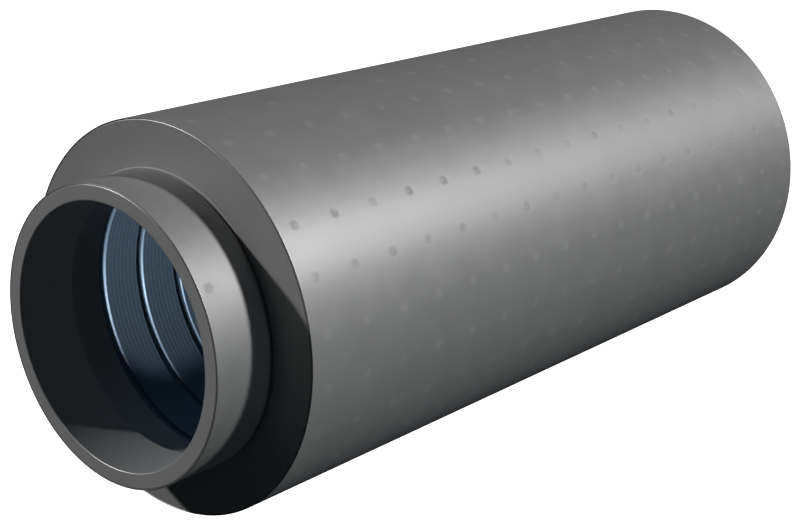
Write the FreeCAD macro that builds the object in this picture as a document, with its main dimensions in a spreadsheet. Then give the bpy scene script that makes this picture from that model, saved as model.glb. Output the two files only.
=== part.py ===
import FreeCAD, Part
import math
import os
import Sketcher

# Circular duct sound attenuator, 300 mm nominal bore with a 50 mm absorbing lining.
# Frame: millimetres, +Z up, the duct axis runs along Y and the front mouth faces -Y.
# The origin is the middle of the duct axis, halfway between the two end plates.
# Every size below can be changed alone. A piece that fits another one takes that
# piece's value and a named clearance.

SIZES = [
    ("casing_diameter", 400.0, "outside of the rolled casing"),
    ("casing_sheet", 1.0, "casing sheet"),
    ("body_length", 900.0, "outer face to outer face of the end plates"),
    ("plate_sheet", 1.2, "end plate sheet"),
    ("plate_flange", 30.0, "depth of the flange turned back into the casing"),
    ("plate_neck", 10.0, "depth of the neck turned in around the spigot"),
    ("plate_bend", 1.6, "outer bend of the end plate"),
    ("spigot_diameter", 300.0, "outside of the spigot, fits a 300 mm duct socket"),
    ("spigot_sheet", 1.0, "spigot sheet"),
    ("spigot_projection", 70.5, "end plate face to the spigot mouth"),
    ("spigot_inner_run", 41.0, "length of spigot behind the end plate face"),
    ("spigot_step", 2.0, "the spigot's run through the end plate is this much smaller in radius"),
    ("spigot_shoulder", 2.5, "the step starts this far before the end plate face"),
    ("mouth_wall", 17.0, "outside of the spigot to the clear bore of the mouth ring"),
    ("mouth_sheet", 1.0, "mouth ring sheet"),
    ("mouth_bend", 1.0, "outer bend of the mouth ring"),
    ("mouth_lip", 22.0, "lip of the mouth ring inside the spigot"),
    ("mouth_stop", 6.0, "the mouth ring's bore ends this far before the end plate face"),
    ("liner_sheet", 0.8, "perforated liner sheet"),
    ("liner_start", 12.0, "end plate face to the liner's edge"),
    ("liner_room", 3.6, "room around the liner for the crests of its swaged grooves"),
    ("fleece_sheet", 0.6, "glass fleece bonded inside the wool"),
    ("wool_cut", 0.5, "gap between the sawn faces of two half shells"),
    ("packing_gap", 0.5, "clearance around the wool strip in the mouth ring"),
    ("dimple_across", 9.0, "one spot dimple, measured across"),
    ("dimple_depth", 0.5, "depth of one spot dimple"),
    ("dimple_pitch", 53.5, "spacing of the dimples along the casing"),
    ("spigot_spot_setback", 12.0, "spigot mouth to its ring of spot dimples"),
]
CASING_DIMPLE_ROWS = 24
SPIGOT_DIMPLES = 18
DIMPLE_SIDES = 4

CENTRE = FreeCAD.Vector(0, 0, 0)
DUCT_AXIS = FreeCAD.Vector(0, 1, 0)

document = FreeCAD.newDocument("duct_sound_attenuator")


def make_sheet():
    """The sheet of driving sizes: one row for each size, its value under its alias."""
    sheet = document.addObject("Spreadsheet::Sheet", "Sizes")
    for row, (alias, value, note) in enumerate(SIZES, start=1):
        sheet.set(f"A{row}", note)
        sheet.set(f"B{row}", str(value))
        sheet.setAlias(f"B{row}", alias)
    document.recompute()
    return sheet


sheet = make_sheet()


def size(alias):
    """A driving size as a number, for the shapes that are worked out in code."""
    return float(getattr(sheet, alias))


def origin_plane(body, role):
    """One of the body's own origin planes, found by its role."""
    return next(item for item in body.Origin.OriginFeatures if item.Role == role)


def new_body(name):
    """An empty body that carries the sub-part's name as its label."""
    body = document.addObject("PartDesign::Body", name)
    body.Label = name
    return body


def corner_sketch(body, name, role, corners):
    """A closed outline of straight edges. Each corner is a pair of expressions."""
    sketch = body.newObject("Sketcher::SketchObject", name)
    sketch.AttachmentSupport = [(origin_plane(body, role), "")]
    sketch.MapMode = "FlatFace"
    count = len(corners)
    start = [
        FreeCAD.Vector(100 * math.cos(math.tau * k / count), 100 * math.sin(math.tau * k / count), 0)
        for k in range(count)
    ]
    for k in range(count):
        sketch.addGeometry(Part.LineSegment(start[k], start[(k + 1) % count]), False)
    for k in range(count):
        sketch.addConstraint(Sketcher.Constraint("Coincident", k, 2, (k + 1) % count, 1))
    for k, (across, up) in enumerate(corners):
        for direction, expression in (("DistanceX", across), ("DistanceY", up)):
            index = sketch.addConstraint(Sketcher.Constraint(direction, k, 1, 10.0))
            sketch.setExpression(f"Constraints[{index}]", expression)
    document.recompute()
    return sketch


def turned_body(name, corners):
    """A body turned about the duct axis. Corners are (place along the axis, radius)."""
    body = new_body(name)
    sketch = corner_sketch(body, name + "_profile", "YZ_Plane", corners)
    turn = body.newObject("PartDesign::Revolution", name + "_turn")
    turn.Profile = sketch
    turn.ReferenceAxis = (sketch, ["H_Axis"])
    turn.Angle = 360
    sketch.Visibility = False
    return body


def set_on_end(part, side):
    """Puts a piece that was drawn from its end plate's face on the front or the rear end."""
    turned = 0 if side == "front" else 180
    part.Placement = FreeCAD.Placement(FreeCAD.Vector(0, 0, 0), FreeCAD.Rotation(turned, 0, 0))
    sign = "-" if side == "front" else ""
    part.setExpression("Placement.Base.y", f"{sign}Sizes.body_length / 2")


CASING_RADIUS = "Sizes.casing_diameter / 2"
CASING_INSIDE = f"({CASING_RADIUS} - Sizes.casing_sheet)"
SPIGOT_RADIUS = "Sizes.spigot_diameter / 2"
SPIGOT_INSIDE = f"({SPIGOT_RADIUS} - Sizes.spigot_sheet)"
NECK_RADIUS = f"({SPIGOT_RADIUS} - Sizes.spigot_step)"
NECK_INSIDE = f"({SPIGOT_INSIDE} - Sizes.spigot_step)"
MOUTH_RADIUS = f"({SPIGOT_RADIUS} - Sizes.mouth_wall)"


def make_end_plate(side):
    """A pressed disc: outer flange turned back into the casing, neck around the spigot."""
    sheet_in = "Sizes.plate_sheet"
    plate = turned_body(
        f"{side}_end_plate",
        [
            ("0", NECK_RADIUS),
            ("0", f"{CASING_INSIDE} - Sizes.plate_bend"),
            ("Sizes.plate_bend", CASING_INSIDE),
            ("Sizes.plate_flange", CASING_INSIDE),
            ("Sizes.plate_flange", f"{CASING_INSIDE} - {sheet_in}"),
            (sheet_in, f"{CASING_INSIDE} - {sheet_in}"),
            (sheet_in, f"{NECK_RADIUS} + {sheet_in}"),
            ("Sizes.plate_neck", f"{NECK_RADIUS} + {sheet_in}"),
            ("Sizes.plate_neck", NECK_RADIUS),
        ],
    )
    set_on_end(plate, side)
    return plate


def spotted(name, plain, tools):
    """The sheet piece with its spot dimples pressed in."""
    marks = document.addObject("Part::Feature", name + "_dimples")
    marks.Shape = tools
    piece = document.addObject("Part::Cut", name)
    piece.Label = name
    piece.Base = plain
    piece.Tool = marks
    return piece


def dimple_grid(radius, angles, places):
    """Flat pyramids that point at the duct axis, at each angle round it and place along it."""
    reach = size("dimple_across") / 2
    depth = size("dimple_depth")
    proud = depth / 2
    foot = reach * (1 + proud / depth)
    corners = []
    for k in range(DIMPLE_SIDES):
        turn = math.tau * (k + 0.5) / DIMPLE_SIDES
        corners.append(FreeCAD.Vector(foot * math.cos(turn), foot * math.sin(turn), radius + proud))
    tip = FreeCAD.Vector(0, 0, radius - depth)
    faces = [Part.Face(Part.makePolygon(corners + corners[:1]))]
    for k in range(DIMPLE_SIDES):
        after = corners[(k + 1) % DIMPLE_SIDES]
        faces.append(Part.Face(Part.makePolygon([corners[k], after, tip, corners[k]])))
    pyramid = Part.makeSolid(Part.makeShell(faces))
    if pyramid.Volume < 0:
        pyramid.reverse()
    copies = []
    for angle in angles:
        for place in places:
            spot = pyramid.copy()
            spot.rotate(CENTRE, DUCT_AXIS, angle)
            spot.translate(FreeCAD.Vector(0, place, 0))
            copies.append(spot)
    return Part.Compound(copies)


def make_spigot(side):
    """The tube that the duct slides over, stepped down where it passes through the end plate.

    Its ring of spot dimples shows where the mouth ring is fixed."""
    name = f"{side}_spigot"
    step_start = "-Sizes.spigot_shoulder"
    step_end = "Sizes.spigot_step - Sizes.spigot_shoulder"
    tube = turned_body(
        name + "_roll",
        [
            ("-Sizes.spigot_projection", SPIGOT_RADIUS),
            (step_start, SPIGOT_RADIUS),
            (step_end, NECK_RADIUS),
            ("Sizes.spigot_inner_run", NECK_RADIUS),
            ("Sizes.spigot_inner_run", NECK_INSIDE),
            (step_end, NECK_INSIDE),
            (step_start, SPIGOT_INSIDE),
            ("-Sizes.spigot_projection", SPIGOT_INSIDE),
        ],
    )
    angles = [360 * row / SPIGOT_DIMPLES for row in range(SPIGOT_DIMPLES)]
    place = size("spigot_spot_setback") - size("spigot_projection")
    spigot = spotted(name, tube, dimple_grid(size("spigot_diameter") / 2, angles, [place]))
    set_on_end(spigot, side)
    return spigot


def make_mouth_ring(side):
    """A spun channel ring: lip inside the spigot, flat face, and the bore tube."""
    face = "-Sizes.spigot_projection"
    back = "-Sizes.spigot_projection + Sizes.mouth_sheet"
    lip_end = "-Sizes.spigot_projection + Sizes.mouth_lip"
    ring = turned_body(
        f"{side}_mouth_ring",
        [
            (face, MOUTH_RADIUS),
            (face, f"{SPIGOT_INSIDE} - Sizes.mouth_bend"),
            (f"{face} + Sizes.mouth_bend", SPIGOT_INSIDE),
            (lip_end, SPIGOT_INSIDE),
            (lip_end, f"{SPIGOT_INSIDE} - Sizes.mouth_sheet"),
            (back, f"{SPIGOT_INSIDE} - Sizes.mouth_sheet"),
            (back, f"{MOUTH_RADIUS} + Sizes.mouth_sheet"),
            ("-Sizes.mouth_stop", f"{MOUTH_RADIUS} + Sizes.mouth_sheet"),
            ("-Sizes.mouth_stop", MOUTH_RADIUS),
        ],
    )
    set_on_end(ring, side)
    return ring


def make_mouth_packing(side):
    """The strip of mineral wool that fills the mouth ring's channel."""
    start = "-Sizes.spigot_projection + Sizes.mouth_sheet + Sizes.packing_gap"
    inside = f"{MOUTH_RADIUS} + Sizes.mouth_sheet"
    outside = f"{SPIGOT_INSIDE} - Sizes.mouth_sheet - Sizes.packing_gap"
    packing = turned_body(
        f"{side}_mouth_packing",
        [
            (start, inside),
            (start, outside),
            ("-Sizes.mouth_stop", outside),
            ("-Sizes.mouth_stop", inside),
        ],
    )
    set_on_end(packing, side)
    return packing


def make_casing_shell():
    """The rolled casing with its grid of shallow spot dimples."""
    half = "Sizes.body_length / 2"
    rolled = turned_body(
        "casing_roll",
        [
            (f"-{half}", CASING_RADIUS),
            (half, CASING_RADIUS),
            (half, CASING_INSIDE),
            (f"-{half}", CASING_INSIDE),
        ],
    )
    pitch = size("dimple_pitch")
    columns = int(size("body_length") // pitch) + 1
    places = [pitch * (column - (columns - 1) / 2) for column in range(columns)]
    angles = [360 * (row + 0.5) / CASING_DIMPLE_ROWS for row in range(CASING_DIMPLE_ROWS)]
    tools = dimple_grid(size("casing_diameter") / 2, angles, places)
    return spotted("casing_shell", rolled, tools)


def make_liner():
    """The perforated tube along the airway. Its ends slide over the two spigots."""
    end = "Sizes.body_length / 2 - Sizes.liner_start"
    return turned_body(
        "perforated_liner",
        [
            (f"-({end})", NECK_RADIUS),
            (end, NECK_RADIUS),
            (end, LINER_OUTSIDE),
            (f"-({end})", LINER_OUTSIDE),
        ],
    )


def make_fleece():
    """The glass fleece that keeps the wool's fibres out of the airway."""
    end = LINING_END
    return turned_body(
        "fleece_wrap",
        [
            (f"-({end})", FLEECE_INSIDE),
            (end, FLEECE_INSIDE),
            (end, FLEECE_OUTSIDE),
            (f"-({end})", FLEECE_OUTSIDE),
        ],
    )


def make_wool_half(name, inside, outside, joint_angle):
    """Half a shell of mineral wool between the end plates. Its sawn faces stand at joint_angle."""
    body = new_body(name)
    end = LINING_END
    sketch = corner_sketch(
        body,
        name + "_profile",
        "YZ_Plane",
        [(f"-({end})", inside), (end, inside), (end, outside), (f"-({end})", outside)],
    )
    turn = body.newObject("PartDesign::Revolution", name + "_turn")
    turn.Profile = sketch
    turn.ReferenceAxis = (sketch, ["H_Axis"])
    turn.setExpression("Angle", "180 deg - 2 * atan(Sizes.wool_cut / Sizes.casing_diameter)")
    sketch.Visibility = False
    body.Placement = FreeCAD.Placement(CENTRE, FreeCAD.Rotation(DUCT_AXIS, joint_angle))
    return body


LINER_OUTSIDE = f"({NECK_RADIUS} + Sizes.liner_sheet)"
FLEECE_INSIDE = f"({LINER_OUTSIDE} + Sizes.liner_room)"
FLEECE_OUTSIDE = f"({FLEECE_INSIDE} + Sizes.fleece_sheet)"
WOOL_OUTSIDE = f"({CASING_INSIDE} - Sizes.plate_sheet)"
WOOL_MIDDLE = f"(({FLEECE_OUTSIDE} + {WOOL_OUTSIDE}) / 2)"
LINING_END = "Sizes.body_length / 2 - Sizes.plate_sheet"


def make_parts():
    """Every separate piece of the attenuator, from the outside in."""
    parts = [make_casing_shell()]
    for side in ("front", "rear"):
        parts.append(make_end_plate(side))
        parts.append(make_spigot(side))
        parts.append(make_mouth_ring(side))
        parts.append(make_mouth_packing(side))
    parts.append(make_liner())
    parts.append(make_fleece())
    parts.append(make_wool_half("inner_wool_left", FLEECE_OUTSIDE, WOOL_MIDDLE, 0))
    parts.append(make_wool_half("inner_wool_right", FLEECE_OUTSIDE, WOOL_MIDDLE, 180))
    parts.append(make_wool_half("outer_wool_upper", WOOL_MIDDLE, WOOL_OUTSIDE, -90))
    parts.append(make_wool_half("outer_wool_lower", WOOL_MIDDLE, WOOL_OUTSIDE, 90))
    document.recompute()
    return parts


def check_and_write(parts):
    """Stops on a failed feature or an empty shape, then writes one file for each sub-part."""
    for item in document.Objects:
        bad = [word for word in item.State if word in ("Invalid", "Error")]
        if bad:
            raise RuntimeError(f"{item.Label} is {bad}")
    os.makedirs("parts", exist_ok=True)
    for part in parts:
        shape = part.Shape
        if shape.isNull() or not shape.isValid() or not shape.Solids:
            raise RuntimeError(f"{part.Label} has no valid solid")
        shape.exportStep(f"parts/{part.Label}.step")
        print(part.Label, len(shape.Solids), "solid", round(shape.Volume / 1000, 1), "cm3")


check_and_write(make_parts())
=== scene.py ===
# %% [markdown]
# A circular duct sound attenuator, dressed around its solids.
#
# The real thing is a rolled steel casing with a grid of spot dimples, a pressed end plate and a
# double-walled spigot at each end, and a blue-grey ribbed liner along the airway. The frame
# holds all of these at their real size, in metres, with the duct axis along Y and the front
# mouth facing -Y. This lesson makes the surfaces that are seen from exact formulas, on finer
# grids than the solids have, and gives each one the metal that the real piece is made of.

# %% Load the fixed frame
import math
import bpy
import numpy as np
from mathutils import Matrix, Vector


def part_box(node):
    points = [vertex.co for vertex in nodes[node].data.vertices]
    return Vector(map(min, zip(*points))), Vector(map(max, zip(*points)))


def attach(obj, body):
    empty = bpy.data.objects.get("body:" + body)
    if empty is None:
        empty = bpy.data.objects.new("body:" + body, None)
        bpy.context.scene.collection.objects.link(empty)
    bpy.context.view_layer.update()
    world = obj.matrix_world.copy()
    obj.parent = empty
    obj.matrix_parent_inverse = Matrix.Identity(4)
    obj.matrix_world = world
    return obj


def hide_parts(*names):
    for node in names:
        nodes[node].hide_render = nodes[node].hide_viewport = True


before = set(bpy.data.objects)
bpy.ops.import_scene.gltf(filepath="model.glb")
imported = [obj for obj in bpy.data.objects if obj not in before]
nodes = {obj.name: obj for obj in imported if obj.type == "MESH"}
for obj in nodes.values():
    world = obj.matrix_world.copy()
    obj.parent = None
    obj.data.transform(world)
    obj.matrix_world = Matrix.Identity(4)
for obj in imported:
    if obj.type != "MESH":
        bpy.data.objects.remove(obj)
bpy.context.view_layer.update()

# %% [markdown]
# The camera comes first, because every later choice is judged through it. Its place was worked
# out from the picture's circles: the axis of the duct runs away to the right and the front
# plate's middle is 1.61 m in front of the lens. The camera is level, so two angles and one
# offset, given along the camera's own right, down and forward directions, say it all.

# %% Camera
VIEW_AZIMUTH = math.radians(40.52)
VIEW_ELEVATION = math.radians(17.25)
SENSOR_WIDTH = 36.0
LENS = 74.18
PLATE_FROM_CAMERA = np.array([-0.23036, 0.05548, 1.60836])

right = np.array([math.cos(VIEW_AZIMUTH), math.sin(VIEW_AZIMUTH), 0.0])
forward = np.array([
    -math.sin(VIEW_AZIMUTH) * math.cos(VIEW_ELEVATION),
    math.cos(VIEW_AZIMUTH) * math.cos(VIEW_ELEVATION),
    -math.sin(VIEW_ELEVATION),
])
down = np.cross(forward, right)
front_plate = np.array([0.0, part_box("front_end_plate")[0][1], 0.0])
camera_place = front_plate - PLATE_FROM_CAMERA @ np.stack([right, down, forward])
camera_data = bpy.data.cameras.new("photo_camera")
camera_data.lens = LENS
camera_data.sensor_width = SENSOR_WIDTH
camera = bpy.data.objects.new("photo_camera", camera_data)
camera.location = camera_place
camera.rotation_euler = (math.pi / 2 - VIEW_ELEVATION, 0.0, VIEW_AZIMUTH)
bpy.context.collection.objects.link(camera)
bpy.context.scene.camera = camera
print("camera at", np.round(camera_place, 3).tolist(), "lens", LENS, "mm")

# %% [markdown]
# Every visible piece here is a sheet that was rolled, spun or pressed round one axis. So one
# helper is enough: it takes a grid of points, already worked out as a whole array, and joins
# neighbours with four-sided faces. The grid closes on itself both ways, like a tube bent into
# a ring, which leaves no open edge. If the enclosed volume comes out negative the faces are
# turned over, so that they point outwards.

# %% Grid surfaces
MM = 0.001


def closed_surface(name, points, wrap_values=None, spot_and_shade_values=None):
    """A mesh from points[i, j]: face (i, j) joins rows i and i + 1 and columns j and j + 1,
    and the last row and column join the first. wrap_values[i, j] become a UV map in mm, and
    the spot values[i, j], from -1 to 1, the attribute spot that the zinc finishes read;
    in a mouth ring's bore it carries painted shade."""
    rows, columns = points.shape[:2]
    index = np.arange(rows * columns).reshape(rows, columns)
    below = np.roll(index, -1, axis=0)
    corners = [index, below, np.roll(below, -1, axis=1), np.roll(index, -1, axis=1)]
    quads = np.stack(corners, axis=-1).reshape(-1, 4)
    flat = points.reshape(-1, 3)
    a, b, c, d = (flat[quads[:, k]] for k in range(4))
    volume = np.einsum("ij,ij->i", a, np.cross(b, c) + np.cross(c, d)).sum() / 6
    if volume < 0:
        quads = quads[:, ::-1]
    mesh = bpy.data.meshes.new(name)
    mesh.vertices.add(len(flat))
    mesh.vertices.foreach_set("co", flat.astype(np.float32).ravel())
    mesh.loops.add(quads.size)
    mesh.loops.foreach_set("vertex_index", quads.astype(np.int32).ravel())
    mesh.polygons.add(len(quads))
    mesh.polygons.foreach_set("loop_start", np.arange(0, quads.size, 4, dtype=np.int32))
    mesh.update(calc_edges=True)
    mesh.polygons.foreach_set("use_smooth", np.ones(len(quads), dtype=bool))
    if wrap_values is not None:
        layer = mesh.uv_layers.new(name="sheet_mm")
        corner_values = wrap_values.reshape(-1, 2)[quads.ravel()]
        layer.data.foreach_set("uv", corner_values.astype(np.float32).ravel())
    if spot_and_shade_values is not None:
        spots = mesh.attributes.new("spot", "FLOAT", "POINT")
        spots.data.foreach_set("value", spot_and_shade_values.astype(np.float32).ravel())
    piece = bpy.data.objects.new(name, mesh)
    bpy.context.collection.objects.link(piece)
    print(name, "has", len(quads) * 2, "triangles and holds", round(abs(volume) * 1e6, 1), "cm3")
    return piece


# %% [markdown]
# A turned piece is a closed outline of (place along the axis, radius) carried round the axis.
# Sheet metal never has a knife-sharp corner, and the thin bright lines at the rims in the
# picture are light caught on those small bends. So each corner of an outline is given as a
# point and a bend radius, and becomes an arc that touches both its sides.

# %% Outlines with bends and turned pieces
ARC_POINTS = 5
TURN_STEPS = 192
GUARD_SHARE = 0.4
BEND_TURN = math.radians(3)
BURNISHED = -0.9


def bent_outline(corners):
    """Rounds each corner (y, r, bend): the arc starts and ends bend / tan(half the corner's
    angle) away from the corner, on its two sides, and its middle lies on their bisector. A
    guard point, GUARD_SHARE of the bend further out on each side, keeps the flats next to it
    shaded flat."""
    points = np.array([corner[:2] for corner in corners], dtype=float)
    bends = [corner[2] for corner in corners]
    outline = []
    for k, bend in enumerate(bends):
        here = points[k]
        to_last = points[k - 1] - here
        to_next = points[(k + 1) % len(points)] - here
        to_last /= np.linalg.norm(to_last)
        to_next /= np.linalg.norm(to_next)
        half = math.acos(np.clip(to_last @ to_next, -1, 1)) / 2
        bisector = (to_last + to_next) / np.linalg.norm(to_last + to_next)
        middle = here + bisector * bend / math.sin(half)
        start = here + to_last * bend / math.tan(half) - middle
        end = here + to_next * bend / math.tan(half) - middle
        share = np.linspace(0, 1, ARC_POINTS)[:, None]
        sweep = math.pi - 2 * half
        arc = (np.sin((1 - share) * sweep) * start + np.sin(share * sweep) * end) / math.sin(sweep)
        first_guard = middle + start + to_last * GUARD_SHARE * bend
        last_guard = middle + end + to_next * GUARD_SHARE * bend
        outline.append(np.concatenate([[first_guard], middle + arc, [last_guard]]))
    return np.concatenate(outline)


def on_bend(outline):
    """1 at each point of a closed outline where it turns by more than BEND_TURN, else 0."""
    ahead = np.roll(outline, -1, axis=0) - outline
    heading = np.arctan2(ahead[:, 1], ahead[:, 0])
    turn = (heading - np.roll(heading, 1) + math.pi) % (2 * math.pi) - math.pi
    return (np.abs(turn) > BEND_TURN).astype(float)


def round_the_axis(along, radius, angle):
    """Points on a surface of revolution: x = r sin(angle), y = along, z = r cos(angle)."""
    along, radius, angle = np.broadcast_arrays(along, radius, angle)
    return np.stack([radius * np.sin(angle), along, radius * np.cos(angle)], axis=-1)


def turned(name, outline, side, dull_and_shaded_inside=0.0):
    """Carries an outline round the duct axis. Its first number runs inwards from the end
    plate's face; side -1 is the front end and side 1 the rear. The attribute spot is 1 within
    the bore radius given last, where the sheet is rougher and painted darker as shade in the
    bore, and BURNISHED on the bends, which the forming tools polish."""
    angle = np.linspace(0, 2 * math.pi, TURN_STEPS, endpoint=False)
    along = side * (HALF_BODY - outline[:, 0])
    points = round_the_axis(along[:, None], outline[:, 1][:, None], angle[None, :])
    dullness_and_shade = np.where(outline[:, 1] < dull_and_shaded_inside, 1.0, BURNISHED * on_bend(outline))
    spot_and_shade_values = np.broadcast_to(dullness_and_shade[:, None], points.shape[:2])
    return closed_surface(name, points, spot_and_shade_values=spot_and_shade_values)


HALF_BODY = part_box("casing_shell")[1][1]
CASING_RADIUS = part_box("casing_shell")[1][2]
SPIGOT_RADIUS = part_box("front_spigot")[1][2]
print("half body", round(HALF_BODY, 4), "casing radius", round(CASING_RADIUS, 4))

# %% [markdown]
# The spot marks are the casing's signature: 24 rows round it and 17 along it, each a shallow
# print, about 9 mm across, where two sheets were pressed together. A mark is sunk a little
# and is duller than the rolled sheet, so it is dark in the bright band and light in the shade.
# Its depth goes into the mesh and its dullness into an attribute that the finish reads. No
# two marks in the picture are quite alike, so each has its own strength and one cleaner
# patch. The grid is uneven on purpose, with close lines across each mark and wide steps
# between them, so that the marks are smooth and the casing stays under 200,000 triangles.

# %% Spot marks
MARK_RIM = 6.5 * MM
MARK_FLOOR = 2.8 * MM
MARK_DEPTH = 0.12 * MM
MARK_LINES = np.linspace(-6.6, 6.6, 11) * MM
PATCH_RIM = 4.0 * MM
PATCH_SHIFT = 2.0 * MM
PATCH_CLEAN = 0.6


def lines_across(centres, gap_lines, start, end):
    """Grid positions from start to end: MARK_LINES at each centre, gap_lines between two."""
    wide = np.diff(centres)[0] - 2 * MARK_LINES[-1]
    between = MARK_LINES[-1] + wide * np.arange(1, gap_lines + 1) / (gap_lines + 1)
    offsets = np.concatenate([MARK_LINES, between])
    lines = (np.asarray(centres)[:, None] + offsets[None, :]).ravel()
    return lines[(lines > start) & (lines < end)]


def smooth_step(value):
    """0 below 0, 1 above 1, and 3v^2 - 2v^3 between."""
    value = np.clip(value, 0, 1)
    return value * value * (3 - 2 * value)


def nearest(values, centres):
    """How far each value is beyond the centre nearest to it, and the number of that centre."""
    beyond = values[:, None] - np.asarray(centres)[None, :]
    number = np.abs(beyond).argmin(axis=1)
    return beyond[np.arange(len(values)), number], number


def spot_marks(along, around):
    """The sunk depth in metres and the dullness from 0 to 1 of the spot marks. along and around
    are what nearest gives in the two directions. The distance from a mark's middle is the cube
    root of the sum of cubes, which gives a soft square, and the depth follows a smooth step
    from MARK_RIM to MARK_FLOOR. The dullness follows the same step, less a round patch that is
    cleaner by the share PATCH_CLEAN. Each mark has a phase, 4.1 (column + 1)^2 +
    2.3 (row + 1)^2, which sets its strength, 0.8 + 0.2 sin(phase). Its patch is off the middle
    by PATCH_SHIFT times sin(1.7 phase) along the sheet and cos(2.9 phase) around it."""
    y, x = along[0][:, None], around[0][None, :]
    distance = (np.abs(y) ** 3 + np.abs(x) ** 3) ** (1 / 3)
    share = smooth_step((MARK_RIM - distance) / (MARK_RIM - MARK_FLOOR))
    phase = 4.1 * (along[1][:, None] + 1.0) ** 2 + 2.3 * (around[1][None, :] + 1.0) ** 2
    strength = 0.8 + 0.2 * np.sin(phase)
    patch_y = PATCH_SHIFT * np.sin(1.7 * phase)
    patch_x = PATCH_SHIFT * np.cos(2.9 * phase)
    clean = PATCH_CLEAN * smooth_step(1 - np.hypot(y - patch_y, x - patch_x) / PATCH_RIM)
    return MARK_DEPTH * share * strength, share * strength * (1 - clean)


print("spot marks:", 2 * MARK_FLOOR / MM, "mm floor,", MARK_DEPTH / MM, "mm deep")

# %% [markdown]
# The casing is a sheet one millimetre thick, so its outline is long and thin. Only its outer
# skin gets the marks; the inside is hidden by the wool. A narrow strip beside each cut edge
# keeps the shading of the edge's small bend from spreading over the skin.

# %% Casing
CASING_SHEET = 1.0 * MM
CASING_ROWS = 24
CASING_COLUMNS = 17
MARK_PITCH = 53.5 * MM
CASING_GAP_LINES = 3
EDGE_BEND = 0.35 * MM
EDGE_POINTS = 4
EDGE_STRIP = 1.0 * MM

column_centres = MARK_PITCH * (np.arange(CASING_COLUMNS) - (CASING_COLUMNS - 1) / 2)
row_centres = 2 * math.pi * (np.arange(CASING_ROWS) + 0.5) / CASING_ROWS
strip_start = HALF_BODY - EDGE_BEND - EDGE_STRIP
along_lines = lines_across(column_centres, CASING_GAP_LINES, -strip_start, strip_start)
along_lines = np.concatenate([[-strip_start], along_lines, [strip_start]])
around_lines = lines_across(row_centres * CASING_RADIUS, CASING_GAP_LINES, 0, math.inf)
around_lines = np.unique(np.round(around_lines / CASING_RADIUS % (2 * math.pi), 9))
edge_turn = np.linspace(0, math.pi / 2, EDGE_POINTS)
edge_y = HALF_BODY - EDGE_BEND + EDGE_BEND * np.sin(edge_turn)
edge_r = CASING_RADIUS - EDGE_BEND + EDGE_BEND * np.cos(edge_turn)
CASING_INSIDE = CASING_RADIUS - CASING_SHEET
outline_y = np.concatenate([along_lines, edge_y, [HALF_BODY, -HALF_BODY], -edge_y[::-1]])
skin_r = np.full(len(along_lines), CASING_RADIUS)
outline_r = np.concatenate([skin_r, edge_r, [CASING_INSIDE, CASING_INSIDE], edge_r[::-1]])
on_skin = (outline_r == CASING_RADIUS)[:, None]
row_offset, row_number = nearest(around_lines, row_centres)
around_marks = (row_offset * CASING_RADIUS, row_number)
sunk, dullness_and_shade = spot_marks(nearest(outline_y, column_centres), around_marks)
sunk_r = outline_r[:, None] - sunk * on_skin
casing_points = round_the_axis(outline_y[:, None], sunk_r, around_lines[None, :])
casing = closed_surface("casing_sheet", casing_points, spot_and_shade_values=dullness_and_shade * on_skin)

# %% [markdown]
# The end plate is pressed from sheet: a flange that enters the casing, a rounded shoulder, a
# flat face, and a neck that turns in round the spigot. The face rises to a low bead at the
# neck, which catches the thin bright line seen along the top of the spigot.

# %% End plates
PLATE_SHEET = 1.2 * MM
PLATE_FLANGE = 30 * MM
PLATE_NECK = 10 * MM
PLATE_BEND = 1.8 * MM
BEAD_HEIGHT = 0.40 * MM
BEAD_TOP = 3.2 * MM
BEAD_FOOT = 4.4 * MM
BEAD_BEND = 0.8 * MM
NECK_MOUTH_BEND = 0.25 * MM
BACK_BEND = 0.6 * MM
CUT_EDGE = 0.2 * MM
SPIGOT_STEP = 2.0 * MM
NECK_RADIUS = SPIGOT_RADIUS - SPIGOT_STEP


def plate_outline():
    """Corners (y, r, bend) of the end plate's section, the outer face first."""
    return bent_outline([
        (-BEAD_HEIGHT, NECK_RADIUS, NECK_MOUTH_BEND),
        (-BEAD_HEIGHT, NECK_RADIUS + BEAD_TOP, BEAD_BEND),
        (0.0, NECK_RADIUS + BEAD_FOOT, BEAD_BEND),
        (0.0, CASING_INSIDE, PLATE_BEND),
        (PLATE_FLANGE, CASING_INSIDE, CUT_EDGE),
        (PLATE_FLANGE, CASING_INSIDE - PLATE_SHEET, CUT_EDGE),
        (PLATE_SHEET, CASING_INSIDE - PLATE_SHEET, BACK_BEND),
        (PLATE_SHEET, NECK_RADIUS + PLATE_SHEET, BACK_BEND),
        (PLATE_NECK, NECK_RADIUS + PLATE_SHEET, CUT_EDGE),
        (PLATE_NECK, NECK_RADIUS, CUT_EDGE),
    ])


front_plate_skin = turned("front_plate_skin", plate_outline(), -1)
rear_plate_skin = turned("rear_plate_skin", plate_outline(), 1)

# %% [markdown]
# The spigot is the part that the duct slides over. It steps down just before the plate and
# runs on through the plate's neck, and it carries its own ring of 18 spot marks. The mouth
# ring sits inside its end: a spun channel with a flat face and soft edges. Its bore is
# rougher than the face and painted darker, as painted shade inside the mouth.

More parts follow.
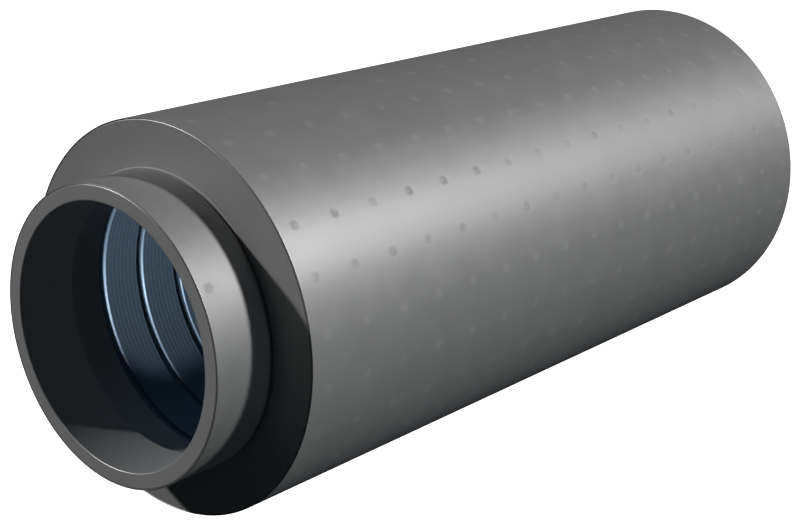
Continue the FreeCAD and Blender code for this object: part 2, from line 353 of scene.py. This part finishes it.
# %% Spigots and mouth rings
SPIGOT_REACH = 70.5 * MM
SPIGOT_RUN = 41 * MM
SPIGOT_SHEET = 1.0 * MM
SPIGOT_INSIDE = SPIGOT_RADIUS - SPIGOT_SHEET
RUN_INSIDE = NECK_RADIUS - SPIGOT_SHEET
STEP_START = 2.5 * MM
STEP_END = 0.5 * MM
WIDE_BEND = 0.8 * MM
TIGHT_BEND = 0.5 * MM
SPIGOT_EDGE_BEND = 0.55 * MM
SPIGOT_INNER_EDGE_BEND = 0.12 * MM
SPIGOT_MARKS = 18
SPIGOT_GAP_LINES = 5
MARK_SETBACK = 12 * MM
MARK_PLACE = MARK_SETBACK - SPIGOT_REACH
LINES_BEHIND_MARKS = np.array([14, 28, 42]) * MM
SPIGOT_MARK_DEPTH_SHARE = 0.6
SPIGOT_MARK_DULL_SHARE = 0.5
MOUTH_WALL = 17 * MM
MOUTH_SHEET = 1.0 * MM
MOUTH_LIP = 22 * MM
MOUTH_STOP = 6 * MM
BORE_BEND = 1.3 * MM
RIM_BEND = 1.2 * MM
CHANNEL_BEND = 0.4 * MM
BORE_RADIUS = SPIGOT_RADIUS - MOUTH_WALL
# Inside this radius the mouth ring's bore is rougher and painted darker: painted shade.
DULL_AND_SHADED_BORE_RADIUS = BORE_RADIUS + 0.2 * MM


def spigot(name, side):
    """The stepped tube with its ring of spot marks, as turned makes it: y runs inwards from
    the plate's face. Its marks are weaker than the casing's."""
    section = bent_outline([
        (-SPIGOT_REACH, SPIGOT_RADIUS, SPIGOT_EDGE_BEND),
        (-STEP_START, SPIGOT_RADIUS, WIDE_BEND),
        (-STEP_END, NECK_RADIUS, TIGHT_BEND),
        (SPIGOT_RUN, NECK_RADIUS, CUT_EDGE),
        (SPIGOT_RUN, RUN_INSIDE, CUT_EDGE),
        (-STEP_END, RUN_INSIDE, WIDE_BEND),
        (-STEP_START, SPIGOT_INSIDE, TIGHT_BEND),
        (-SPIGOT_REACH, SPIGOT_INSIDE, SPIGOT_INNER_EDGE_BEND),
    ])
    extra = MARK_PLACE + np.concatenate([MARK_LINES, LINES_BEHIND_MARKS])
    lines = np.stack([extra, np.full(len(extra), SPIGOT_RADIUS)], axis=1)
    first_bend = ARC_POINTS + 2
    section = np.concatenate([section[:first_bend], lines, section[first_bend:]])
    centres = 2 * math.pi * np.arange(SPIGOT_MARKS) / SPIGOT_MARKS
    around = lines_across(centres * SPIGOT_RADIUS, SPIGOT_GAP_LINES, -math.inf, math.inf)
    angle = around / SPIGOT_RADIUS
    offset, number = nearest(angle, np.append(centres, 2 * math.pi))
    around_marks = (offset * SPIGOT_RADIUS, number % SPIGOT_MARKS)
    sunk, dullness_and_shade = spot_marks(nearest(section[:, 0], [MARK_PLACE]), around_marks)
    on_skin = (section[:, 1] > SPIGOT_RADIUS - 0.01 * MM)[:, None]
    along = side * (HALF_BODY - section[:, 0])
    radius = section[:, 1][:, None] - SPIGOT_MARK_DEPTH_SHARE * sunk * on_skin
    points = round_the_axis(along[:, None], radius, angle[None, :])
    marks = SPIGOT_MARK_DULL_SHARE * dullness_and_shade * on_skin
    return closed_surface(name, points, spot_and_shade_values=marks + BURNISHED * on_bend(section)[:, None])


def mouth_outline():
    """Corners (y, r, bend) of the mouth ring: bore edge, outer edge, lip, channel and bore."""
    channel_floor = -SPIGOT_REACH + MOUTH_SHEET
    lip_end = -SPIGOT_REACH + MOUTH_LIP
    return bent_outline([
        (-SPIGOT_REACH, BORE_RADIUS, BORE_BEND),
        (-SPIGOT_REACH, SPIGOT_INSIDE, RIM_BEND),
        (lip_end, SPIGOT_INSIDE, CUT_EDGE),
        (lip_end, SPIGOT_INSIDE - MOUTH_SHEET, CUT_EDGE),
        (channel_floor, SPIGOT_INSIDE - MOUTH_SHEET, CHANNEL_BEND),
        (channel_floor, BORE_RADIUS + MOUTH_SHEET, CHANNEL_BEND),
        (-MOUTH_STOP, BORE_RADIUS + MOUTH_SHEET, CUT_EDGE),
        (-MOUTH_STOP, BORE_RADIUS, CUT_EDGE),
    ])


front_spigot_skin = spigot("front_spigot_skin", -1)
rear_spigot_skin = spigot("rear_spigot_skin", 1)
front_mouth_skin = turned("front_mouth_skin", mouth_outline(), -1, DULL_AND_SHADED_BORE_RADIUS)
rear_mouth_skin = turned("rear_mouth_skin", mouth_outline(), 1, DULL_AND_SHADED_BORE_RADIUS)

# %% [markdown]
# The liner is what the mouth shows: thin blue-grey sheet, finely ribbed round its axis, with a
# rolled groove every 51.4 mm. The groove runs outwards. Its near side falls away in shade and
# its far side faces the mouth, which is why each one reads as a dark band with a bright line.

# %% Liner
LINER_START = 12 * MM
LINER_SHEET = 0.8 * MM
RIB_PITCH = 5.14 * MM
RIB_DEPTH = 0.12 * MM
GROOVE_PITCH = 51.4 * MM
GROOVE_WIDTH = 9.8 * MM
GROOVE_NEAR_SIDE = 1.6 * MM
GROOVE_FAR_SIDE = 2.2 * MM
GROOVE_DEPTH = 2.7 * MM
GROOVE_FREE_END = 40 * MM
FINE_REACH = 270 * MM
FINE_STEP = RIB_PITCH / 8
COARSE_STEP = RIB_PITCH / 4
OUTSIDE_STEP = 4.8 * MM
LINER_TURN_STEPS = 66


def liner_wall(place):
    """Radius at a distance from the front plate: fine ribs as half-cosines, and grooves that
    end at each multiple of GROOVE_PITCH from the nearer plate. A groove is the product of two
    smooth steps, a steep one on the side of the mouth and a gentler one behind it."""
    from_end = np.minimum(place, 2 * HALF_BODY - place)
    before = (-from_end) % GROOVE_PITCH
    far_side = smooth_step(before / GROOVE_FAR_SIDE)
    near_side = smooth_step((GROOVE_WIDTH - before) / GROOVE_NEAR_SIDE)
    level = far_side * near_side * (from_end > GROOVE_FREE_END)
    ribs = RIB_DEPTH * (1 - np.cos(2 * math.pi * from_end / RIB_PITCH)) / 2 * (level == 0)
    return NECK_RADIUS + level * GROOVE_DEPTH + ribs


end_place = 2 * HALF_BODY - LINER_START
fine = np.arange(LINER_START, FINE_REACH, FINE_STEP)
coarse = np.arange(FINE_REACH, 2 * HALF_BODY - FINE_REACH, COARSE_STEP)
inner_place = np.concatenate([fine, coarse, 2 * HALF_BODY - fine[::-1]])
outer_place = np.arange(end_place, LINER_START, -OUTSIDE_STEP)
outer_place = np.append(outer_place, LINER_START)
wall = np.concatenate([liner_wall(inner_place), liner_wall(outer_place) + LINER_SHEET])
place = np.concatenate([inner_place, outer_place])
turn = np.linspace(0, 2 * math.pi, LINER_TURN_STEPS, endpoint=False)
liner_points = round_the_axis((place - HALF_BODY)[:, None], wall[:, None], turn[None, :])
along_mm, around_mm = np.broadcast_arrays(place[:, None] / MM, turn[None, :] * NECK_RADIUS / MM)
liner_mm = np.stack([along_mm, around_mm], axis=-1)
liner = closed_surface("ribbed_liner", liner_points, liner_mm)

# %% [markdown]
# Metal gets its look from what it mirrors, so its colour is kept near white zinc grey and the
# rest is roughness. Galvanised sheet has a faint, broad cloudiness and fine rolling lines.
# Every pattern below is sized from Object coordinates, which are in metres, or from the
# liner's own UV map, which is in millimetres along and around the sheet.

# %% Materials
CLOUDS_PER_METRE = 25.0
GLOSS_SPAN = 0.02
SPOT_ROUGHNESS = 0.22
LINES_ROUND = (60.0, 900.0, 60.0)
LINES_UPRIGHT = (500.0, 60.0, 60.0)


def linear(hex_colour):
    """sRGB hex to linear RGBA, by the sRGB curve."""
    parts = [int(hex_colour[k:k + 2], 16) / 255 for k in (0, 2, 4)]
    return [c / 12.92 if c <= 0.04045 else ((c + 0.055) / 1.055) ** 2.4 for c in parts] + [1.0]


def new_material(name):
    """An empty node material with a surface shader wired to the output."""
    material = bpy.data.materials.new(name)
    material.use_nodes = True
    tree = material.node_tree
    tree.nodes.clear()
    output = node(tree, "ShaderNodeOutputMaterial")
    shader = node(tree, "ShaderNodeBsdfPrincipled")
    tree.links.new(shader.outputs["BSDF"], output.inputs["Surface"])
    return material, tree, shader


def node(tree, kind, links=(), **settings):
    """Adds a node. Settings that name an input set its value, others set the node itself;
    links are (input, socket) pairs."""
    made = tree.nodes.new(kind)
    for key, value in settings.items():
        if key in made.inputs:
            made.inputs[key].default_value = value
        else:
            setattr(made, key, value)
    for key, socket in links:
        tree.links.new(socket, made.inputs[key])
    return made


def ramp(tree, factor, low, high, start=0.3, end=0.7):
    """A colour ramp from low to high, both linear RGBA."""
    made = node(tree, "ShaderNodeValToRGB", [("Fac", factor)])
    first, last = made.color_ramp.elements
    first.position, first.color = start, low
    last.position, last.color = end, high
    return made.outputs["Color"]


def zinc_sheet(name, light, dark, worn_and_shade, roughness, rolling, metallic=0.45):
    """Hot-dip galvanised sheet, temper rolled: broad soft clouds about 40 mm wide in colour
    and gloss, and faint rolling lines. rolling is how fine they are along x, y and z, per
    metre. Where the attribute spot is 1 the sheet takes the colour given after dark and is
    rougher by SPOT_ROUGHNESS; that colour is the spot marks' own worn tone, and painted
    shade in a mouth ring's bore. Below 0 it is smoother in the same measure, so that it shines."""
    material, tree, shader = new_material(name)
    place = node(tree, "ShaderNodeTexCoord").outputs["Object"]
    clouds = node(tree, "ShaderNodeTexNoise", [("Vector", place)],
                  Scale=CLOUDS_PER_METRE, Detail=3.0, Roughness=0.5)
    stretched = node(tree, "ShaderNodeMapping", [("Vector", place)], Scale=rolling)
    lines = node(tree, "ShaderNodeTexNoise", [("Vector", stretched.outputs["Vector"])],
                 Scale=1.0, Detail=2.0)
    colour = ramp(tree, clouds.outputs["Fac"], linear(dark), linear(light))
    spot = node(tree, "ShaderNodeAttribute", attribute_name="spot").outputs["Fac"]
    tone = node(tree, "ShaderNodeMix", data_type="RGBA")
    tree.links.new(spot, tone.inputs["Factor"])
    tree.links.new(colour, tone.inputs[6])
    tone.inputs[7].default_value = linear(worn_and_shade)
    tree.links.new(tone.outputs[2], shader.inputs["Base Color"])
    gloss = node(tree, "ShaderNodeMapRange", [("Value", clouds.outputs["Fac"])])
    gloss.inputs["From Min"].default_value = 0.3
    gloss.inputs["From Max"].default_value = 0.7
    gloss.inputs["To Min"].default_value = roughness - GLOSS_SPAN
    gloss.inputs["To Max"].default_value = roughness + GLOSS_SPAN
    dulled = node(tree, "ShaderNodeMath", operation="MULTIPLY_ADD")
    tree.links.new(spot, dulled.inputs[0])
    dulled.inputs[1].default_value = SPOT_ROUGHNESS
    tree.links.new(gloss.outputs["Result"], dulled.inputs[2])
    tree.links.new(dulled.outputs["Value"], shader.inputs["Roughness"])
    bump = node(tree, "ShaderNodeBump", [("Height", lines.outputs["Fac"])],
                Strength=0.05, Distance=0.3 * MM)
    tree.links.new(bump.outputs["Normal"], shader.inputs["Normal"])
    shader.inputs["Metallic"].default_value = metallic
    return material


casing_zinc = zinc_sheet(
    "galvanised_sheet_rolled", "AFAFAF", "ADADAD", worn_and_shade="A7A7A7", roughness=0.50, rolling=LINES_ROUND)
plate_zinc = zinc_sheet(
    "galvanised_sheet_pressed", "C9C9C9", "C4C4C4", worn_and_shade="C4C4C4", roughness=0.60, rolling=LINES_UPRIGHT)
# The mouth ring's darker colour in its bore is painted shade.
ring_zinc = zinc_sheet(
    "galvanised_sheet_spun_bright", "DADADA", "D5D5D5", worn_and_shade="C0C0C0", roughness=0.58, rolling=LINES_ROUND)
spigot_zinc = zinc_sheet(
    "galvanised_sheet_spun", "ADADAD", "ABABAB", worn_and_shade="A4A4A4", roughness=0.60, rolling=LINES_ROUND,
    metallic=0.6)
print("four galvanised finishes")

# %% [markdown]
# The liner is darker and bluer than the zinc, a sheet with a baked coat, pierced by holes less
# than a millimetre wide. They are too fine to model, so they are dots painted near black, as
# painted shade inside the holes, 1.25 mm apart in the sheet's own UV map. The hidden fleece
# and wool get their real look too.

# %% Liner, fleece and wool finishes
HOLES_PER_MM = 0.8
HOLE_FLOOR = 0.18
HOLE_EDGE = 0.24
HAZE_PER_METRE = 30.0
FIBRE_STRETCH = 6


def pierced_liner():
    """Blue-grey coated sheet, finely pierced: dots from a Voronoi pattern on the sheet, painted
    near black as shade inside the holes. A dot is dark up to HOLE_FLOOR from its middle and
    clear beyond HOLE_EDGE, in hole spacings."""
    material, tree, shader = new_material("coated_steel_micro_perforated")
    sheet = node(tree, "ShaderNodeUVMap", uv_map="sheet_mm").outputs["UV"]
    dots = node(tree, "ShaderNodeTexVoronoi", [("Vector", sheet)],
                Scale=HOLES_PER_MM, Randomness=0.15)
    # The holes' near-black colour is painted shade.
    hole_shade_colour, coat_colour = linear("0A0C10"), linear("63798D")
    coat_with_hole_shade = ramp(tree, dots.outputs["Distance"], hole_shade_colour, coat_colour, HOLE_FLOOR, HOLE_EDGE)
    tree.links.new(coat_with_hole_shade, shader.inputs["Base Color"])
    place = node(tree, "ShaderNodeTexCoord").outputs["Object"]
    haze = node(tree, "ShaderNodeTexNoise", [("Vector", place)], Scale=HAZE_PER_METRE, Detail=2.0)
    gloss = node(tree, "ShaderNodeMapRange", [("Value", haze.outputs["Fac"])])
    gloss.inputs["To Min"].default_value = 0.40
    gloss.inputs["To Max"].default_value = 0.52
    tree.links.new(gloss.outputs["Result"], shader.inputs["Roughness"])
    shader.inputs["Metallic"].default_value = 0.35
    return material


def fibrous(name, light, dark, fibre):
    """Matt mineral fibre: noise streaks along the duct, fibre of them per metre across it and
    each FIBRE_STRETCH times as long as it is wide."""
    material, tree, shader = new_material(name)
    place = node(tree, "ShaderNodeTexCoord").outputs["Object"]
    stretched = node(tree, "ShaderNodeMapping", [("Vector", place)],
                     Scale=(fibre, fibre / FIBRE_STRETCH, fibre))
    strands = node(tree, "ShaderNodeTexNoise", [("Vector", stretched.outputs["Vector"])],
                   Scale=1.0, Detail=5.0)
    colour = ramp(tree, strands.outputs["Fac"], linear(dark), linear(light))
    tree.links.new(colour, shader.inputs["Base Color"])
    bump = node(tree, "ShaderNodeBump", [("Height", strands.outputs["Fac"])],
                Strength=0.6, Distance=1.0 * MM)
    tree.links.new(bump.outputs["Normal"], shader.inputs["Normal"])
    shader.inputs["Roughness"].default_value = 0.95
    return material


liner_coat = pierced_liner()
fleece_white = fibrous("glass_fleece_bonded", "E4E1D6", "C9C5B8", 900.0)
wool_yellow = fibrous("mineral_wool_slab", "C6B068", "9A8748", 500.0)
print("liner, fleece and wool finishes")

# %% [markdown]
# Each surface stands for the solid of the same piece and rides on the one body. The solids
# that nothing replaces keep their own mesh and get their material here.

# %% Dress the solids
skins = [
    (casing, "casing_shell", "casing_steel", casing_zinc),
    (front_plate_skin, "front_end_plate", "plate_steel", plate_zinc),
    (rear_plate_skin, "rear_end_plate", "plate_steel", plate_zinc),
    (front_spigot_skin, "front_spigot", "spigot_steel", spigot_zinc),
    (rear_spigot_skin, "rear_spigot", "spigot_steel", spigot_zinc),
    (front_mouth_skin, "front_mouth_ring", "spigot_steel", ring_zinc),
    (rear_mouth_skin, "rear_mouth_ring", "spigot_steel", ring_zinc),
    (liner, "perforated_liner", "liner_steel", liner_coat),
]
for piece, solid, slot_name, material in skins:
    piece.data.materials.append(material)
    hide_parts(solid)
    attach(piece, "root")
for name, solid in nodes.items():
    finish = fleece_white if "fleece" in name else wool_yellow
    solid.data.materials.clear()
    solid.data.materials.append(finish)
print(len(skins), "surfaces replace solids;", len(nodes) - len(skins), "solids keep their own mesh")

# %% [markdown]
# The picture has two main lights, and their shadows tell where they stand. The casing's rim
# shades the spigot for 24 mm at its nearest, which puts the key light behind and to the
# right: it lays the bright band along the casing. The spigot throws a round shadow on the
# plate, which puts the front light to the upper left: it also lights the rim and the floor
# of the mouth. Both shadows are crisp and parallel, so both are far away and are made as sun
# lamps. A weak bluish fill light lifts the casing's lower side. It comes from the right and
# from slightly behind the plate, so that it stays out of the mouth. The liner has a lamp of
# its own, linked to it alone, for the light that reaches it through the mouth. Little else
# is lit, so the room gives only a weak bluish grey.

# %% Lights, floor and world
def far_light(name, direction, spread, strength):
    """A sun lamp that shines from a direction. spread is its apparent width in degrees, and
    strength its irradiance in watts per square metre."""
    data = bpy.data.lights.new(name, "SUN")
    data.angle = math.radians(spread)
    data.energy = strength
    lamp = bpy.data.objects.new(name, data)
    lamp.rotation_euler = Vector(direction).to_track_quat("Z", "Y").to_euler()
    lamp.location = Vector(direction) * 3
    bpy.context.collection.objects.link(lamp)
    return lamp


KEY_DIRECTION = (0.717, 0.440, 0.540)
FRONT_DIRECTION = (-0.656, -0.579, 0.485)
FILL_DIRECTION = (0.955, 0.080, -0.200)
MOUTH_DIRECTION = (0.400, -0.910, -0.120)
far_light("key_light", KEY_DIRECTION, spread=5.0, strength=2.12)
far_light("front_light", FRONT_DIRECTION, spread=3.0, strength=1.05)
fill_light = far_light("fill_light", FILL_DIRECTION, spread=8.0, strength=0.13)
fill_light.data.color = linear("D8E6F0")[:3]
mouth_light = far_light("mouth_light", MOUTH_DIRECTION, spread=6.0, strength=4.1)
lit_by_it = bpy.data.collections.new("lit_by_mouth_light")
lit_by_it.objects.link(liner)
mouth_light.light_linking.receiver_collection = lit_by_it

FLOOR_HEIGHT = -0.9
FLOOR_REACH = 30
floor_corners = [(-1, -1), (1, -1), (1, 1), (-1, 1)]
floor_points = [(x * FLOOR_REACH, y * FLOOR_REACH, FLOOR_HEIGHT) for x, y in floor_corners]
floor_mesh = bpy.data.meshes.new("studio_floor")
floor_mesh.from_pydata(floor_points, [], [(0, 1, 2, 3)])
studio_floor = bpy.data.objects.new("studio_floor", floor_mesh)
bpy.context.collection.objects.link(studio_floor)
floor_paint, floor_tree, floor_shader = new_material("studio_paper_white")
floor_shader.inputs["Base Color"].default_value = linear("F4F4F4")
floor_shader.inputs["Roughness"].default_value = 0.9
floor_shader.inputs["Emission Color"].default_value = linear("FFFFFF")
floor_shader.inputs["Emission Strength"].default_value = 1.1
floor_mesh.materials.append(floor_paint)
studio_floor.visible_glossy = False
studio_floor.visible_diffuse = False
studio_floor.visible_shadow = False

world = bpy.data.worlds.new("studio")
world.use_nodes = True
sky = world.node_tree
sky.nodes.clear()
seen = node(sky, "ShaderNodeBackground", Color=linear("FFFFFF"), Strength=1.0)
room = node(sky, "ShaderNodeBackground", Color=linear("CBDDEA"), Strength=0.014)
path = node(sky, "ShaderNodeLightPath")
choice = node(sky, "ShaderNodeMixShader", [("Fac", path.outputs["Is Camera Ray"])])
sky.links.new(room.outputs["Background"], choice.inputs[1])
sky.links.new(seen.outputs["Background"], choice.inputs[2])
sky_output = node(sky, "ShaderNodeOutputWorld")
sky.links.new(choice.outputs["Shader"], sky_output.inputs["Surface"])
bpy.context.scene.world = world
bpy.context.scene.view_settings.view_transform = "Standard"
print("four lamps, a white floor and a weak bluish grey room")
